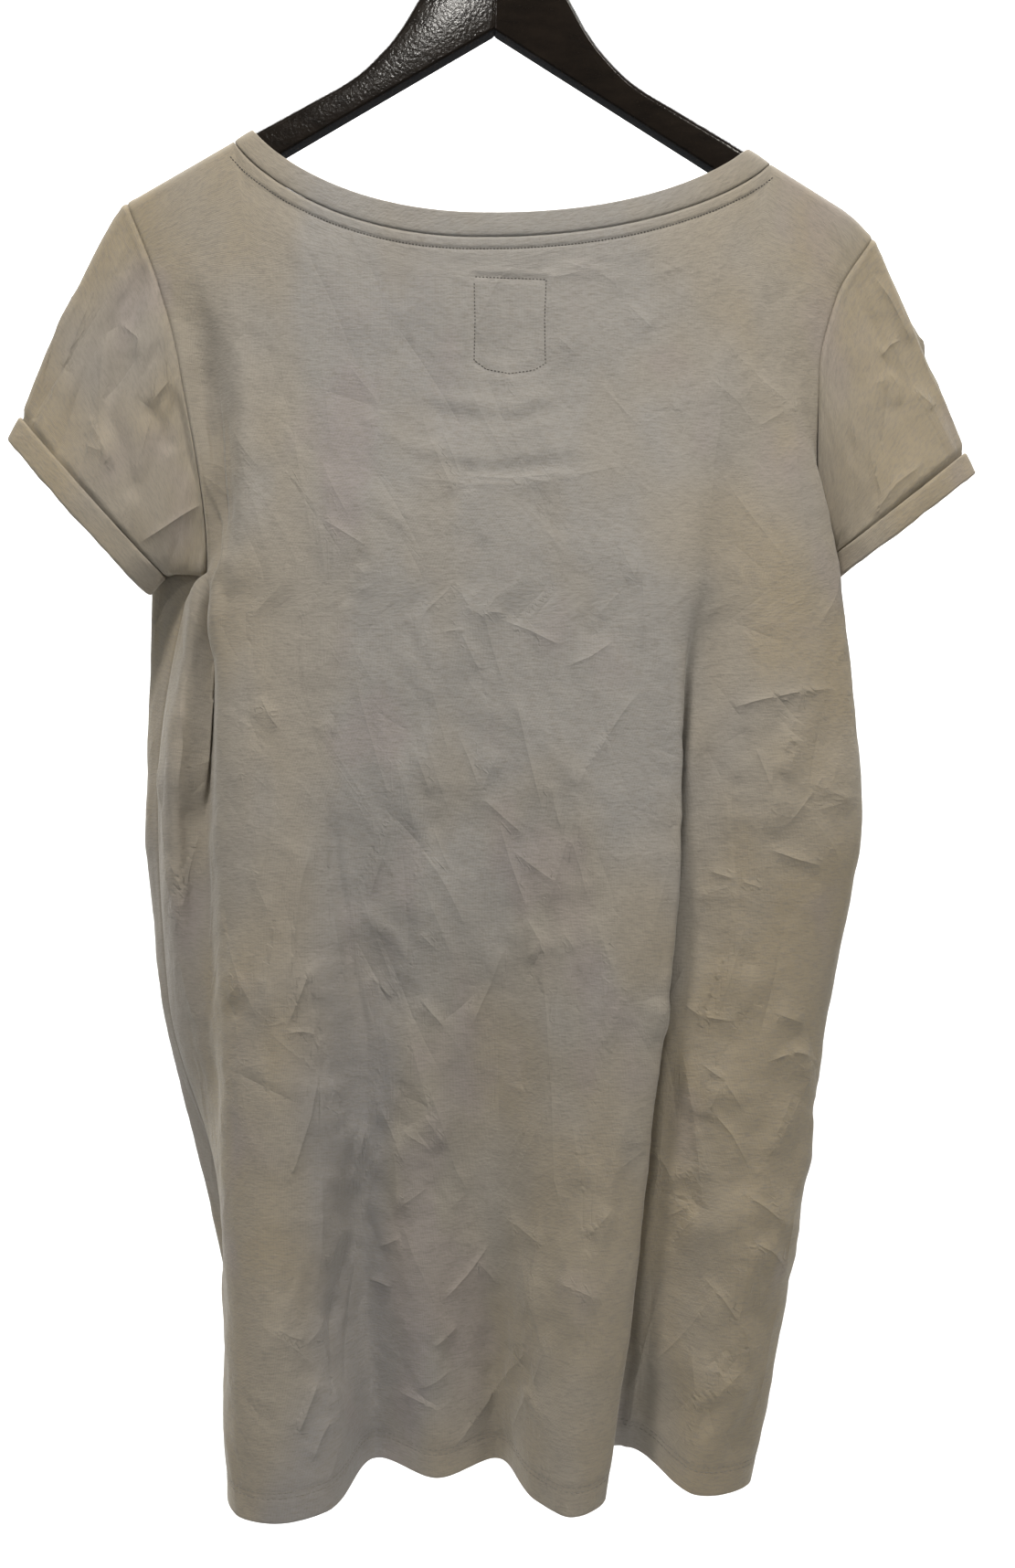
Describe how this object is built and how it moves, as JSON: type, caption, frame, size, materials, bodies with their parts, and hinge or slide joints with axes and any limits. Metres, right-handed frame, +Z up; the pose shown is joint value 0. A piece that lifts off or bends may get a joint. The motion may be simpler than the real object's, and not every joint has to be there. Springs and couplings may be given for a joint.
{
  "type": "t-shirt dress on a clothes hanger",
  "caption": "Jersey T-shirt dress with short cuffed sleeves and a wide scoop neck, hanging in soft folds from a flat wooden clothes hanger with a steel hook.",
  "frame": {"origin": "inside top of the hanger's hook, where it rests on a rail", "axes": "+Z up; the back of the dress faces -Y and its front +Y; +X points to the right of someone who looks at the back, the wearer's right side"},
  "size_m": [0.6161, 0.1531, 1.0373],
  "materials": {
    "jersey": "soft matt cotton jersey with a slight sheen",
    "hanger_wood": "near-black semi-gloss paint",
    "hook_steel": "polished steel wire"
  },
  "bodies": {
    "root": {"back": "jersey", "front": "jersey", "neckband": "jersey", "sleeve_left": "jersey", "sleeve_right": "jersey", "cuff_left": "jersey", "cuff_right": "jersey", "hanger": "hanger_wood", "hook": "hook_steel"}
  },
  "joints": []
}
